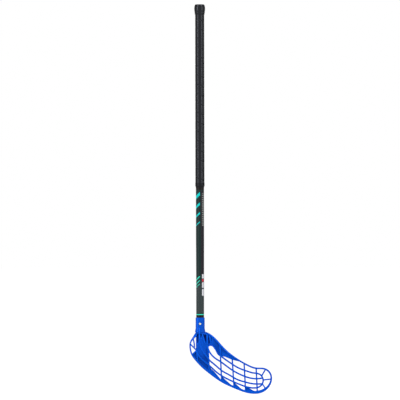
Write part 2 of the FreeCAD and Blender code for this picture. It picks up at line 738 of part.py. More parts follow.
def make_blade_screw():
    body = new_body("blade_screw")
    radius = "(sizes.screw_diameter / 2)"
    head = "(sizes.screw_head_diameter / 2)"
    top = "(sizes.screw_length + sizes.screw_head_height)"
    turned = turn(body, [
        ("0", "0"),
        (radius, "sizes.screw_point"),
        (radius, "sizes.screw_length"),
        (head, "sizes.screw_length"),
        (head, top),
        ("0", top),
    ])
    round_edge(body, turned, "head_edge", "screw_head_radius", head, top)
    reach, slot = "sizes.screw_recess_span / 2", "sizes.screw_recess_slot / 2"
    cross = outline_sketch(body, "recess_outline", "XY_Plane", [
        (reach, f"-{slot}"), (reach, slot), (slot, slot),
        (slot, reach), (f"-{slot}", reach), (f"-{slot}", slot),
        (f"-{reach}", slot), (f"-{reach}", f"-{slot}"), (f"-{slot}", f"-{slot}"),
        (f"-{slot}", f"-{reach}"), (slot, f"-{reach}"), (slot, f"-{slot}"),
    ])
    cross.setExpression(".AttachmentOffset.Base.z", top)
    doc.recompute()
    before = body.Shape.Volume
    recess = body.newObject("PartDesign::Pocket", "recess")
    recess.Profile = cross
    recess.setExpression("Length", "sizes.screw_recess_depth")
    doc.recompute()
    if body.Shape.Volume >= before:
        raise RuntimeError("the screw's recess cuts nothing")
    body.Placement.Rotation = Rotation(Vector(1, 0, 0), 90)
    body.setExpression(".Placement.Base.y", f"sizes.screw_length - {SCREW_SEAT}")
    lift(body, SCREW_HEIGHT)
    return body


tape_pitch = number_of("sizes.tape_pitch")
blade_reach = number_of("sizes.blade_reach")
blade_fall = number_of("sizes.blade_fall")
lie_degrees = number_of("sizes.blade_lie")
socket_base = number_of(SOCKET_BASE)

pieces = [
    make_shaft(),
    make_end_cap(),
    make_grip_tape(),
    make_finishing_band(),
    make_blade(),
    make_blade_screw(),
]
doc.recompute()

for obj in doc.Objects:
    if {"Invalid", "Error"} & set(obj.State):
        raise RuntimeError(f"{obj.Label} failed: {obj.State}")
for piece in pieces:
    shape = piece.Shape
    if shape.isNull() or not shape.isValid() or len(shape.Solids) != 1:
        raise RuntimeError(f"{piece.Label} is not one valid solid")
    print(f"{piece.Label}: {shape.Volume:.1f} cubic mm, {len(shape.Faces)} faces")

os.makedirs("parts", exist_ok=True)
for piece in pieces:
    piece.Shape.exportStep(f"parts/{piece.Label}.step")
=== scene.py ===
"""Looks of a floorball stick: end cap, wound grip, painted tube, moulded blade and its screw."""

import logging
import math
from contextlib import contextmanager
from dataclasses import dataclass
from enum import Enum
from typing import Iterator, Sequence, Union

import bmesh
import bpy
import numpy as np
from bpy.types import Material, Mesh, Node, NodeSocket, NodeTree, Object
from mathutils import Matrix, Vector


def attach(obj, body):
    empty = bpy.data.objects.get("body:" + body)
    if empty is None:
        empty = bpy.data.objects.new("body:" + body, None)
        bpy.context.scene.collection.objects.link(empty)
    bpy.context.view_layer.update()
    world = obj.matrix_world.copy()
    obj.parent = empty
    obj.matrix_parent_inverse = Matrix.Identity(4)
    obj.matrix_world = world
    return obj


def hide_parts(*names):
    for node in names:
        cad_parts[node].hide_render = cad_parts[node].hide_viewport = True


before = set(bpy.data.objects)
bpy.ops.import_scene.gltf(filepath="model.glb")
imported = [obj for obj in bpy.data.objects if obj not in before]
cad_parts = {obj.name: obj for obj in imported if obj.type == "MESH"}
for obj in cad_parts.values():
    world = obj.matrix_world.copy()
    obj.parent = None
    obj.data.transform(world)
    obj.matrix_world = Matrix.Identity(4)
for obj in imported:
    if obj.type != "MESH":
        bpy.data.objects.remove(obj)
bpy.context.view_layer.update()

LOG = logging.getLogger("floorball_stick")
Colour = tuple[float, float, float]
Place = tuple[float, float, float]
Point = tuple[float, float]
Feed = Union[Node, NodeSocket, float, int, bool, tuple]
Outputs = bpy.types.bpy_prop_collection

# How the nodes of a tree are laid out
NODE_COLUMNS = 9
NODE_STEP = (190, -230)

# The grip's lower end, the tape's climb in one turn, and where it starts before it is cut off square
GRIP_LOW = -0.252
TAPE_PITCH = 0.0275
LEAD_TURNS = 1.5
TAPE_START = GRIP_LOW - TAPE_PITCH * LEAD_TURNS

# Upright ridges on the front of the collar and neck, raised in the mesh and coloured with a painted
# highlight: place across, lower end and upper end
RIDGES = ((-0.0084, -0.6825, -0.6400), (-0.0022, -0.7000, -0.6680))
RIDGE_REACH = 0.0015
RIDGE_CREST = 0.3 * RIDGE_REACH
RIDGE_FADE = 0.002

# Points closer than this are one
MERGE = 1e-7


class Body(Enum):
    """Bodies of the stick that a piece can ride on."""

    STICK = "stick"
    CAP = "cap"
    SCREW = "screw"


class Hand(Enum):
    """Which way a helix climbs round its axis."""

    LEFT = -1.0
    RIGHT = 1.0


class Graph:
    """Adds nodes to one node tree and links them."""

    def __init__(self, tree: NodeTree) -> None:
        """Take the tree that the nodes go into."""
        self.tree = tree

    def feed(self, socket: NodeSocket, value: Feed) -> None:
        """Link a socket to another node's output, or set its value.

        Args:
            socket: the input to feed.
            value: an output socket, a node whose first output counts, or a plain value.
        """
        if isinstance(value, Node):
            value = value.outputs[0]
        if isinstance(value, NodeSocket):
            self.tree.links.new(value, socket)
        else:
            socket.default_value = value

    def node(self, kind: str, inputs: dict[Union[str, int], Feed], **settings: object) -> Node:
        """Add a node and feed its inputs.

        Args:
            kind: Blender's type name of the node.
            inputs: names or numbers of inputs with what feeds them.
            settings: properties of the node and their values.

        Returns:
            The new node.
        """
        node = self.tree.nodes.new(kind)
        row, column = divmod(len(self.tree.nodes), NODE_COLUMNS)
        node.location = (NODE_STEP[0] * column, NODE_STEP[1] * row)
        for name, value in settings.items():
            setattr(node, name, value)
        for name, value in inputs.items():
            self.feed(node.inputs[name], value)
        return node

    def math(self, operation: str, first: Feed, second: Feed = 0.0) -> NodeSocket:
        """Join two numbers by one of Blender's operations."""
        return self.node("ShaderNodeMath", {0: first, 1: second}, operation=operation).outputs[0]

    def times(self, first: Feed, second: Feed) -> NodeSocket:
        """Product of two numbers."""
        return self.math("MULTIPLY", first, second)

    def step(self, value: Feed, low: float, high: float, to_low: float = 0.0,
             to_high: float = 1.0) -> NodeSocket:
        """Ease a number from to_low to to_high while the value goes from low to high."""
        limits = {"Value": value, "From Min": low, "From Max": high, "To Min": to_low, "To Max": to_high}
        return self.node("ShaderNodeMapRange", limits, interpolation_type="SMOOTHSTEP").outputs["Result"]

    def mix(self, factor: Feed, first: Feed, second: Feed) -> NodeSocket:
        """Blend two colours or colour sockets, the factor being the second one's share."""
        first, second = ((*part, 1.0) if isinstance(part, tuple) else part for part in (first, second))
        return self.node("ShaderNodeMix", {0: factor, 6: first, 7: second}, data_type="RGBA").outputs[2]


class SurfaceEffects:
    """Shader node groups that several finishes share."""

    def __init__(self) -> None:
        """Build each group once."""
        self.grain = self._grain()
        self.rubbing = self._rubbing()
        self.stripe = self._stripe()

    @staticmethod
    def _group(name: str, inputs: dict[str, str], outputs: Sequence[str]) -> tuple:
        """Start a group.

        Args:
            name: the group's name.
            inputs: input names with their types.
            outputs: names of the numbers that it puts out.

        Returns:
            The tree, its builder, and the sockets of its input and output nodes.
        """
        tree = bpy.data.node_groups.new(name, "ShaderNodeTree")
        for label, kind in inputs.items():
            tree.interface.new_socket(label, in_out="INPUT", socket_type=f"NodeSocket{kind}")
        for label in outputs:
            tree.interface.new_socket(label, in_out="OUTPUT", socket_type="NodeSocketFloat")
        graph = Graph(tree)
        return tree, graph, graph.node("NodeGroupInput", {}).outputs, graph.node("NodeGroupOutput", {}).inputs

    def _grain(self) -> NodeTree:
        """Fine irregular grain with small pores, as a height."""
        tree, graph, given, out = self._group(
            "fine_grain", {"Vector": "Vector", "Scale": "Float"}, ["Height", "Pores"])
        noise = graph.node("ShaderNodeTexNoise", {"Vector": given["Vector"], "Scale": given["Scale"],
                                                  "Detail": 3.0, "Roughness": 0.55})
        pores = graph.node("ShaderNodeTexVoronoi", {"Vector": given["Vector"],
                                                    "Scale": graph.times(given["Scale"], 0.8)})
        pits = graph.step(pores.outputs["Distance"], 0.05, 0.35)
        graph.feed(out["Height"], graph.math("ADD", graph.times(noise, 0.5),
                                             graph.times(pits, 0.5)))
        graph.feed(out["Pores"], pits)
        return tree

    def _rubbing(self) -> NodeTree:
        """Soft patches and fine streaks where a surface has been handled, as masks."""
        tree, graph, given, out = self._group(
            "rubbing", {"Vector": "Vector", "Scale": "Float"}, ["Patches", "Streaks"])
        patches = graph.node("ShaderNodeTexNoise", {"Vector": given["Vector"], "Scale": given["Scale"],
                                                    "Detail": 4.0, "Roughness": 0.6})
        stretched = graph.node("ShaderNodeMapping", {"Vector": given["Vector"], "Scale": (9.0, 9.0, 1.2)})
        streaks = graph.node("ShaderNodeTexNoise", {"Vector": stretched, "Scale": given["Scale"],
                                                    "Detail": 2.0})
        graph.feed(out["Patches"], graph.step(patches, 0.35, 0.7))
        graph.feed(out["Streaks"], graph.step(streaks, 0.56, 0.72))
        return tree

    def _stripe(self) -> NodeTree:
        """Stripe between two limits with sharp edges, as a mask."""
        tree, graph, given, out = self._group(
            "stripe", {"Place": "Float", "Low": "Float", "High": "Float"}, ["Mask"])
        above = graph.math("GREATER_THAN", given["Place"], given["Low"])
        below = graph.math("LESS_THAN", given["Place"], given["High"])
        graph.feed(out["Mask"], graph.times(above, below))
        return tree


class SurfaceGraph(Graph):
    """Adds nodes to one material, with its surface shader and the object's own coordinates at hand."""

    def __init__(self, material: Material, effects: SurfaceEffects) -> None:
        """Open a new material.

        Args:
            material: the material.
            effects: the shared node groups.
        """
        material.use_nodes = True
        super().__init__(material.node_tree)
        self.effects = effects
        self.shader = material.node_tree.nodes["Principled BSDF"]
        self.place = self.node("ShaderNodeTexCoord", {}).outputs["Object"]

    def surface(self, values: dict[str, Feed]) -> None:
        """Feed inputs of the surface shader by name."""
        for name, value in values.items():
            self.feed(self.shader.inputs[name], value)

    def effect(self, group: NodeTree, inputs: dict[str, Feed]) -> Outputs:
        """Place a shared node group and give its outputs."""
        return self.node("ShaderNodeGroup", inputs, node_tree=group).outputs

    def grain(self, scale: float) -> Outputs:
        """Shared grain at a scale."""
        return self.effect(self.effects.grain, {"Vector": self.place, "Scale": scale})

    def rubbing(self, scale: float) -> Outputs:
        """Shared rubbing at a scale."""
        return self.effect(self.effects.rubbing, {"Vector": self.place, "Scale": scale})

    def stripe(self, value: Feed, span: Point) -> NodeSocket:
        """Mask of the values between two limits."""
        return self.effect(self.effects.stripe, {"Place": value, "Low": span[0], "High": span[1]})["Mask"]

    def attribute(self, name: str) -> NodeSocket:
        """Number that the mesh carries on each of its points."""
        return self.node("ShaderNodeAttribute", {}, attribute_name=name).outputs["Fac"]

    def parts(self) -> Outputs:
        """Object's own coordinates, one by one."""
        return self.node("ShaderNodeSeparateXYZ", {"Vector": self.place}).outputs

    def bump(self, height: Feed, distance: float, strength: float) -> None:
        """Let a height raise the surface's grain by a depth in metres."""
        node = self.node("ShaderNodeBump", {"Height": height, "Distance": distance, "Strength": strength})
        self.surface({"Normal": node.outputs["Normal"]})


@dataclass(frozen=True)
class Finish:
    """Base of a surface finish: a name, a colour and how rough it is."""

    name: str
    colour: Colour
    roughness: float

    def material(self, effects: SurfaceEffects) -> Material:
        """Build the finish's material.

        Args:
            effects: the shared node groups.

        Returns:
            The material.
        """
        material = bpy.data.materials.new(self.name)
        material.diffuse_color = (*self.colour, 1.0)
        graph = SurfaceGraph(material, effects)
        graph.surface({"Base Color": (*self.colour, 1.0), "Roughness": self.roughness})
        self.dress(graph)
        return material

    def dress(self, graph: SurfaceGraph) -> None:
        """Add what makes the finish its own, which here is nothing."""

    def streaked(self, graph: SurfaceGraph, rub: Outputs, more: float) -> NodeSocket:
        """Roughness that rises by a given amount in the streaks of rubbing."""
        return graph.step(rub["Streaks"], 0.0, 1.0, self.roughness, self.roughness + more)


@dataclass(frozen=True, kw_only=True)
class SoftBlack(Finish):
    """Dark rubber or cushioned tape with a fine grain and a handled sheen that fades to its rims."""

    worn: Colour
    grain_scale: float
    grain_depth: float
    specular: float
    grain_strength: float = 0.7
    pore_shade: float = 0.55
    rubbing_scale: float = 26.0
    sheen_tint: Colour = (0.86, 0.89, 1.0)
    rim: Point = (0.15, 0.5)
    rim_sheen: float = 0.15

    def dress(self, graph: SurfaceGraph) -> None:
        """Lay grain, wear and sheen.

        Args:
            graph: the material's builder.
        """
        grain = graph.grain(self.grain_scale)
        rub = graph.rubbing(self.rubbing_scale)
        pores = tuple(self.pore_shade * part for part in self.colour)
        shade = graph.mix(graph.times(rub["Patches"], 0.6), self.colour, self.worn)
        shade = graph.mix(graph.times(grain["Pores"], 0.35), pores, shade)
        rough = graph.step(rub["Patches"], 0.0, 1.0, self.roughness + 0.07, self.roughness - 0.05)
        facing = graph.node("ShaderNodeLayerWeight", {"Blend": 0.5}).outputs["Facing"]
        sheen = graph.step(facing, *self.rim, self.specular, self.rim_sheen * self.specular)
        graph.surface({"Base Color": shade, "Roughness": self.dulled(graph, rough),
                       "Specular IOR Level": sheen, "Specular Tint": (*self.sheen_tint, 1.0)})
        graph.bump(grain["Height"], self.grain_depth, self.grain_strength)

    def dulled(self, graph: SurfaceGraph, rough: NodeSocket) -> NodeSocket:
        """Roughness where seams or wear change it, which on plain rubber is nowhere."""
        return rough


@dataclass(frozen=True, kw_only=True)
class WoundTape(SoftBlack):
    """Cushioned tape, dull in the seams between its turns and rubbed shiny just under them."""

    hand: Hand = Hand.LEFT
    lower_seam: Point = (0.09, 0.03)
    upper_seam: Point = (0.955, 0.99)
    shiny_from: Point = (0.70, 0.84)
    shiny_to: Point = (0.92, 0.96)
    seam_dullness: float = 0.4
    shine: float = 0.07

    def dulled(self, graph: SurfaceGraph, rough: NodeSocket) -> NodeSocket:
        """Change the roughness across the tape's width, from its lower edge to its upper one.

        Args:
            graph: the material's builder.
            rough: the roughness so far.

        Returns:
            The roughness with the seams in it.
        """
        parts = graph.parts()
        turn = graph.times(graph.math("ARCTAN2", parts["Y"], parts["X"]),
                          -self.hand.value / (2 * math.pi))
        climb = graph.math("DIVIDE", graph.math("SUBTRACT", parts["Z"], TAPE_START), TAPE_PITCH)
        across = graph.math("FRACT", graph.math("ADD", climb, turn))
        seam = graph.math("MAXIMUM", graph.step(across, *self.lower_seam),
                          graph.step(across, *self.upper_seam))
        shiny = graph.math("SUBTRACT", graph.step(across, *self.shiny_from),
                           graph.step(across, *self.shiny_to))
        rough = graph.math("ADD", rough, graph.times(seam, self.seam_dullness))
        return graph.math("SUBTRACT", rough, graph.times(shiny, self.shine))


@dataclass(frozen=True, kw_only=True)
class KnobRubber(SoftBlack):
    """Moulded rubber, dull in its grooves and rubbed shiny where the hand rests."""

    grooves: tuple[float, ...]
    groove_reach: float
    rubbed: Point
    groove_dullness: float = 0.4
    shine: float = 0.1

    def dulled(self, graph: SurfaceGraph, rough: NodeSocket) -> NodeSocket:
        """Change the roughness along the knob's height.

        Args:
            graph: the material's builder.
            rough: the roughness so far.

        Returns:
            The roughness with the grooves and the rubbed part in it.
        """
        height = graph.parts()["Z"]
        rough = graph.math("SUBTRACT", rough, graph.step(height, *self.rubbed, 0.0, self.shine))
        for groove in self.grooves:
            away = graph.math("ABSOLUTE", graph.math("SUBTRACT", height, groove))
            dull = graph.step(away, self.groove_reach, 0.5 * self.groove_reach, 0.0, self.groove_dullness)
            rough = graph.math("ADD", rough, dull)
        return rough


@dataclass(frozen=True)
class Paint:
    """Bars painted on the tube: their colour, lower and upper edges, and the angles they lie between."""

    colour: Colour
    bars: tuple[Point, ...]
    sector: Point = (-4.0, 4.0)
    slanted: bool = False
    ticked: bool = False


@dataclass(frozen=True, kw_only=True)
class TubeLacquer(Finish):
    """Lacquered fibre tube, paler below, with paint under the gloss."""

    fibre: Colour
    lower: Colour
    fade: Point
    paints: tuple[Paint, ...]
    radius: float = 0.012
    slope: float = 0.8
    fibre_waves: float = 2100.0
    ticks_per_metre: float = 160.0
    tick_share: float = 0.55
    specular: float = 0.1
    coat: float = 0.05
    coat_roughness: float = 0.25
    rubbing_scale: float = 30.0

    def dress(self, graph: SurfaceGraph) -> None:
        """Lay fibres, paint and lacquer.

        Args:
            graph: the material's builder.
        """
        parts = graph.parts()
        turn = graph.math("ARCTAN2", parts["X"], graph.times(parts["Y"], -1.0))
        round_tube = graph.times(turn, self.radius)
        slant = graph.math("SUBTRACT", parts["Z"], graph.times(round_tube, self.slope))
        count = graph.times(parts["Z"], self.ticks_per_metre)
        ticks = graph.math("LESS_THAN", graph.math("FRACT", count), self.tick_share)

        # Crossed fibres show faintly through the lacquer
        weave: Feed = 0.5
        for waves in (self.fibre_waves, -self.fibre_waves):
            across = graph.math("ADD", graph.times(parts["Z"], self.fibre_waves),
                                graph.times(round_tube, waves))
            weave = graph.math("ADD", graph.times(graph.math("SINE", across), 0.25), weave)
        fibres = graph.step(weave, 0.15, 0.85)
        colour = graph.mix(fibres, self.colour, self.fibre)
        colour = graph.mix(graph.step(parts["Z"], *self.fade, 0.85, 0.0), colour, self.lower)
        for paint in self.paints:
            mask: Feed = 0.0
            for bar in paint.bars:
                painted = graph.stripe(slant if paint.slanted else parts["Z"], bar)
                mask = graph.math("MAXIMUM", painted, mask)
            mask = graph.times(mask, graph.stripe(turn, paint.sector))
            if paint.ticked:
                mask = graph.times(mask, ticks)
            colour = graph.mix(mask, colour, paint.colour)

        rub = graph.rubbing(self.rubbing_scale)
        graph.surface({"Base Color": colour, "Roughness": self.streaked(graph, rub, 0.12),
                       "Specular IOR Level": self.specular, "Coat Weight": self.coat,
                       "Coat Roughness": self.coat_roughness})
        scratches = graph.times(rub["Streaks"], -0.6)
        graph.bump(graph.math("ADD", fibres, scratches), 0.00003, 0.25)


@dataclass(frozen=True, kw_only=True)
class MouldedPlastic(Finish):
    """Coloured moulded plastic with a fine skin, painted shade in its hollows and painted highlights on its
    crests, most on its neck.
    """

    # Random mottling, and a faint painted highlight on crests
    edge: Colour
    # Painted shade in hollows
    hollow_shade: Colour
    # Brighter painted highlight on the neck's crests and ridges
    line: Colour
    neck_foot: Point
    neck_head: Point
    specular: float
    # Relief limits of the painted highlight on crests
    edge_from: Point = (0.53, 0.64)
    edge_to: Point = (0.74, 0.88)
    # Limits of the hollow attribute over which the painted shade comes in
    hollow: Point = (0.45, 0.04)
    # Share of the painted highlight on the neck's crests
    neck_share: float = 0.4
    grain_scale: float = 1100.0
    rubbing_scale: float = 38.0

    def dress(self, graph: SurfaceGraph) -> None:
        """Colour the plastic by its relief, with painted shade in hollows and painted highlights on crests
        and ridges, and give it its skin.

        Args:
            graph: the material's builder.
        """
        rub = graph.rubbing(self.rubbing_scale)
        relief = graph.attribute("relief")
        shade = graph.mix(graph.times(rub["Patches"], 0.35), self.colour, self.edge)
        # Painted highlight: the crests of the relief are coloured paler
        crest_highlight = graph.math("SUBTRACT", graph.step(relief, *self.edge_from), graph.step(relief, *self.edge_to))
        shade = graph.mix(crest_highlight, shade, self.edge)
        # Painted shade: the hollows of the relief are coloured darker
        shade = graph.mix(graph.step(graph.attribute("hollow"), *self.hollow), shade, self.hollow_shade)
        parts = graph.parts()
        # The neck's crests get the brighter painted highlight
        neck = graph.math("MINIMUM", graph.step(parts["Z"], *self.neck_foot, 0.0, self.neck_share),
                          graph.step(parts["Z"], *self.neck_head, self.neck_share, 0.0))
        painted_highlight = graph.times(crest_highlight, neck)
        # Painted highlight along the raised ridges
        for across, low, high in RIDGES:
            away = graph.math("ABSOLUTE", graph.math("SUBTRACT", parts["X"], across))
            lit_ridge = graph.step(away, RIDGE_REACH, RIDGE_CREST)
            for value, start, end in ((parts["Z"], low - RIDGE_FADE, low + RIDGE_FADE),
                                      (parts["Z"], high + RIDGE_FADE, high - RIDGE_FADE),
                                      (parts["Y"], 0.0, -RIDGE_FADE)):
                lit_ridge = graph.times(lit_ridge, graph.step(value, start, end))
            painted_highlight = graph.math("MAXIMUM", painted_highlight, lit_ridge)
        graph.surface({"Base Color": graph.mix(painted_highlight, shade, self.line),
                       "Roughness": self.streaked(graph, rub, 0.1), "Specular IOR Level": self.specular})
        graph.bump(graph.grain(self.grain_scale)["Height"], 0.00008, 0.35)


@dataclass(frozen=True, kw_only=True)
class PlatedSteel(Finish):
    """Zinc-plated steel with a warm passivated tint."""

    tint: Colour
    metallic: float = 0.65
    rubbing_scale: float = 420.0

    def dress(self, graph: SurfaceGraph) -> None:
        """Lay the plating.

        Args:
            graph: the material's builder.
        """
        rub = graph.rubbing(self.rubbing_scale)
        graph.surface({"Base Color": graph.mix(rub["Patches"], self.colour, self.tint),
                       "Metallic": self.metallic, "Roughness": self.streaked(graph, rub, 0.15)})
        graph.bump(rub["Patches"], 0.00002, 0.3)


def link(name: str, data: bpy.types.ID) -> Object:
    """Put a mesh, a curve, a lamp or a camera into the scene as an object at the origin.

    Args:
        name: the object's name.
        data: what it holds.

    Returns:
        The object.
    """
    obj = bpy.data.objects.new(name, data)
    bpy.context.scene.collection.objects.link(obj)
    return obj


@contextmanager
def edited(mesh: Mesh) -> Iterator[bmesh.types.BMesh]:
    """Open a mesh for editing, and write it back at the end.

    Args:
        mesh: the mesh.

    Yields:
        The mesh as it is edited.
    """
    bm = bmesh.new()
    bm.from_mesh(mesh)
    yield bm
    bm.to_mesh(mesh)
    bm.free()


def settle(obj: Object) -> None:
    """Turn an object's modifiers into its plain mesh.

    Args:
        obj: the object with its modifiers.
    """
    evaluated = obj.evaluated_get(bpy.context.evaluated_depsgraph_get())
    mesh = bpy.data.meshes.new_from_object(evaluated)
    obj.modifiers.clear()
    obj.data = mesh


def shade(obj: Object, degrees: float) -> None:
    """Shade an object smoothly but for edges sharper than an angle."""
    obj.data.shade_smooth()
    obj.data.set_sharp_from_angle(angle=math.radians(degrees))


def turned(name: str, profile: Sequence[Point], segments: int) -> Object:
    """Solid of revolution about the Z axis.

    Args:
        name: the object's name.
        profile: radius and height of each corner of the closed section, counter-clockwise.
        segments: number of steps round the axis.

    Returns:
        The object.
    """
    mesh = bpy.data.meshes.new(name)
    with edited(mesh) as bm:
        rings = []
        for index in range(segments):
            angle = 2 * math.pi * index / segments
            rings.append([bm.verts.new((radius * math.cos(angle), radius * math.sin(angle), height))
                          for radius, height in profile])
        for ring, following in zip(rings, rings[1:] + rings[:1]):
            for index in range(len(profile)):
                after = (index + 1) % len(profile)
                if profile[index][0] == 0 and profile[after][0] == 0:
                    continue
                bm.faces.new((ring[index], following[index], following[after], ring[after]))
        bmesh.ops.remove_doubles(bm, verts=bm.verts, dist=MERGE)
        bmesh.ops.dissolve_degenerate(bm, edges=bm.edges, dist=MERGE)
        bmesh.ops.recalc_face_normals(bm, faces=bm.faces)
    return link(name, mesh)


def rounded(corners: Sequence[Point], radius: float, steps: int) -> list[Point]:
    """Rounded corner of a section.

    Args:
        corners: the corner, between the points before and after it.
        radius: how far from the corner the rounding starts.
        steps: number of spans of the rounding.

    Returns:
        Points of the rounding.
    """
    before, middle, after = (Vector(corner) for corner in corners)
    first = middle + (before - middle).normalized() * radius
    last = middle + (after - middle).normalized() * radius
    shares = [index / steps for index in range(steps + 1)]
    return [tuple(first.lerp(middle, share).lerp(middle.lerp(last, share), share)) for share in shares]


class HelicalSweep:
    """Geometry Nodes tree that sweeps a section along a helix about the Z axis."""

    def __init__(self) -> None:
        """Build the tree with its named inputs."""
        self.tree = bpy.data.node_groups.new("helical_sweep", "GeometryNodeTree")
        interface = self.tree.interface
        interface.new_socket("Geometry", in_out="OUTPUT", socket_type="NodeSocketGeometry")
        kinds = {"Turns": "Float", "Radius": "Float", "Pitch": "Float", "Start": "Float",
                 "Steps Per Turn": "Float", "Hand": "Float", "Section": "Object", "Finish": "Material"}
        self.sockets = {
            name: interface.new_socket(name, in_out="INPUT", socket_type=f"NodeSocket{kind}").identifier
            for name, kind in kinds.items()}
        graph = Graph(self.tree)
        given = graph.node("NodeGroupInput", {}).outputs

        # Sweep along a straight line, one unit long for each turn
        tip = graph.node("ShaderNodeCombineXYZ", {"X": given["Turns"]})
        line = graph.node("GeometryNodeCurvePrimitiveLine", {"End": tip})
        count = graph.math("ADD", graph.times(given["Turns"], given["Steps Per Turn"]), 1.0)
        stepped = graph.node("GeometryNodeResampleCurve", {"Curve": line, "Count": count})
        upright = graph.node("GeometryNodeSetCurveNormal", {"Curve": stepped}, mode="Z_UP")
        section = graph.node("GeometryNodeObjectInfo", {"Object": given["Section"]})
        swept = graph.node("GeometryNodeCurveToMesh", {
            "Curve": upright, "Profile Curve": section.outputs["Geometry"], "Fill Caps": True})

        # Wind the sweep round the axis, its section kept upright
        place = graph.node("GeometryNodeInputPosition", {}).outputs[0]
        along, inward, downward = graph.node("ShaderNodeSeparateXYZ", {"Vector": place}).outputs
        angle = graph.times(graph.times(along, 2 * math.pi), given["Hand"])
        radius = graph.math("SUBTRACT", given["Radius"], inward)
        climb = graph.math("ADD", graph.times(along, given["Pitch"]), given["Start"])
        spot = graph.node("ShaderNodeCombineXYZ", {
            "X": graph.times(radius, graph.math("COSINE", angle)),
            "Y": graph.times(radius, graph.math("SINE", angle)),
            "Z": graph.math("SUBTRACT", climb, downward)})
        wound = graph.node("GeometryNodeSetPosition", {
            "Geometry": swept, "Position": spot})
        real = graph.node("GeometryNodeRealizeInstances", {"Geometry": wound})
        dressed = graph.node("GeometryNodeSetMaterial", {
            "Geometry": real, "Material": given["Finish"]})
        graph.node("NodeGroupOutput", {0: dressed})

    def make(self, name: str, section: Sequence[Point], finish: Material,
             sizes: dict[str, float]) -> Object:
        """Sweep a section.

        Args:
            name: the new object's name.
            section: closed section as outward and upward offsets from the helix.
            finish: the material.
            sizes: the tree's other inputs by name.

        Returns:
            The swept object as a plain mesh.
        """
        curve = bpy.data.curves.new(f"{name}_section", "CURVE")
        spline = curve.splines.new("POLY")
        spline.points.add(len(section) - 1)
        for point, (outward, upward) in zip(spline.points, section):
            point.co = (outward, upward, 0.0, 1.0)
        spline.use_cyclic_u = True
        guide = link(f"{name}_section", curve)
        obj = link(name, bpy.data.meshes.new(name))
        modifier = obj.modifiers.new("sweep", "NODES")
        modifier.node_group = self.tree
        for label, value in {**sizes, "Section": guide, "Finish": finish}.items():
            modifier[self.sockets[label]] = value
        settle(obj)
        bpy.data.objects.remove(guide)
        with edited(obj.data) as bm:
            bmesh.ops.recalc_face_normals(bm, faces=bm.faces)
        return obj


def trim(obj: Object, low: float, high: float) -> None:
    """Cut an object off square at two heights and close the cuts.

    Args:
        obj: the object.
        low: the lower height.
        high: the upper height.
    """
    with edited(obj.data) as bm:
        for height, normal in ((high, 1.0), (low, -1.0)):
            cut = bmesh.ops.bisect_plane(bm, geom=[*bm.verts, *bm.edges, *bm.faces], dist=MERGE,
                                         plane_co=(0, 0, height), plane_no=(0, 0, normal), clear_outer=True)
            rim = [part for part in cut["geom_cut"] if isinstance(part, bmesh.types.BMEdge)]
            bmesh.ops.edgenet_fill(bm, edges=rim)
        bmesh.ops.recalc_face_normals(bm, faces=bm.faces)


@dataclass
class EndCap:
    """Rubber knob with a skirt over the tube and a hollow plug in its bore."""

    top: float = 0.282
    crown: float = 0.277
    skirt_end: float = 0.252
    skirt_bore: float = 0.01205
    plug_end: float = 0.241
    plug_radius: float = 0.01015
    plug_bore: float = 0.00765
    plug_chamfer: float = 0.0006
    grooves: Point = (0.2542, 0.2616)
    groove_depth: float = 0.0005
    groove_width: float = 0.0008
    fine_part: Point = (0.2535, 0.2700)
    fine_steps: int = 56
    segments: int = 96
    sharp_degrees: float = 40.0

    def _outside(self) -> list[Point]:
        """Barrel-shaped outside from the skirt's end up to the top, with two shallow grooves."""
        barrel = np.array([
            (0.0140, 0.2520), (0.01430, 0.2523), (0.01442, 0.2532), (0.01478, 0.2562), (0.01518, 0.2586),
            (0.01550, 0.2614), (0.01570, 0.2644), (0.01592, 0.2673), (0.01603, 0.2700), (0.01598, 0.2718),
            (0.01582, 0.2736), (0.01553, 0.2754), (0.01512, 0.2772), (0.01460, 0.2789), (0.01402, 0.2802),
            (0.01335, 0.2812), (0.01250, 0.28185), (0.0115, 0.2820)])
        fine = np.linspace(*self.fine_part, self.fine_steps)
        heights = np.unique(np.concatenate([barrel[:, 1], fine]))
        radii = np.interp(heights, barrel[:, 1], barrel[:, 0])
        for middle in self.grooves:
            radii -= self.groove_depth * np.exp(-((heights - middle) / self.groove_width) ** 2)
        return list(zip(radii.tolist(), heights.tolist()))

    def build(self, finish: Material) -> Object:
        """Make the end cap.

        Args:
            finish: its rubber.

        Returns:
            The piece.
        """
        profile = [(0.0, self.crown), (self.plug_bore, self.crown), (self.plug_bore, self.plug_end),
                   (self.plug_radius - self.plug_chamfer, self.plug_end),
                   (self.plug_radius, self.plug_end + self.plug_chamfer),
                   (self.plug_radius, self.crown), (self.skirt_bore, self.crown),
                   (self.skirt_bore, self.skirt_end), *self._outside(), (0.0, self.top)]
        piece = turned("end_cap_knob", profile, self.segments)
        shade(piece, self.sharp_degrees)
        piece.data.materials.append(finish)
        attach(piece, Body.CAP.value)
        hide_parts("end_cap")
        return piece


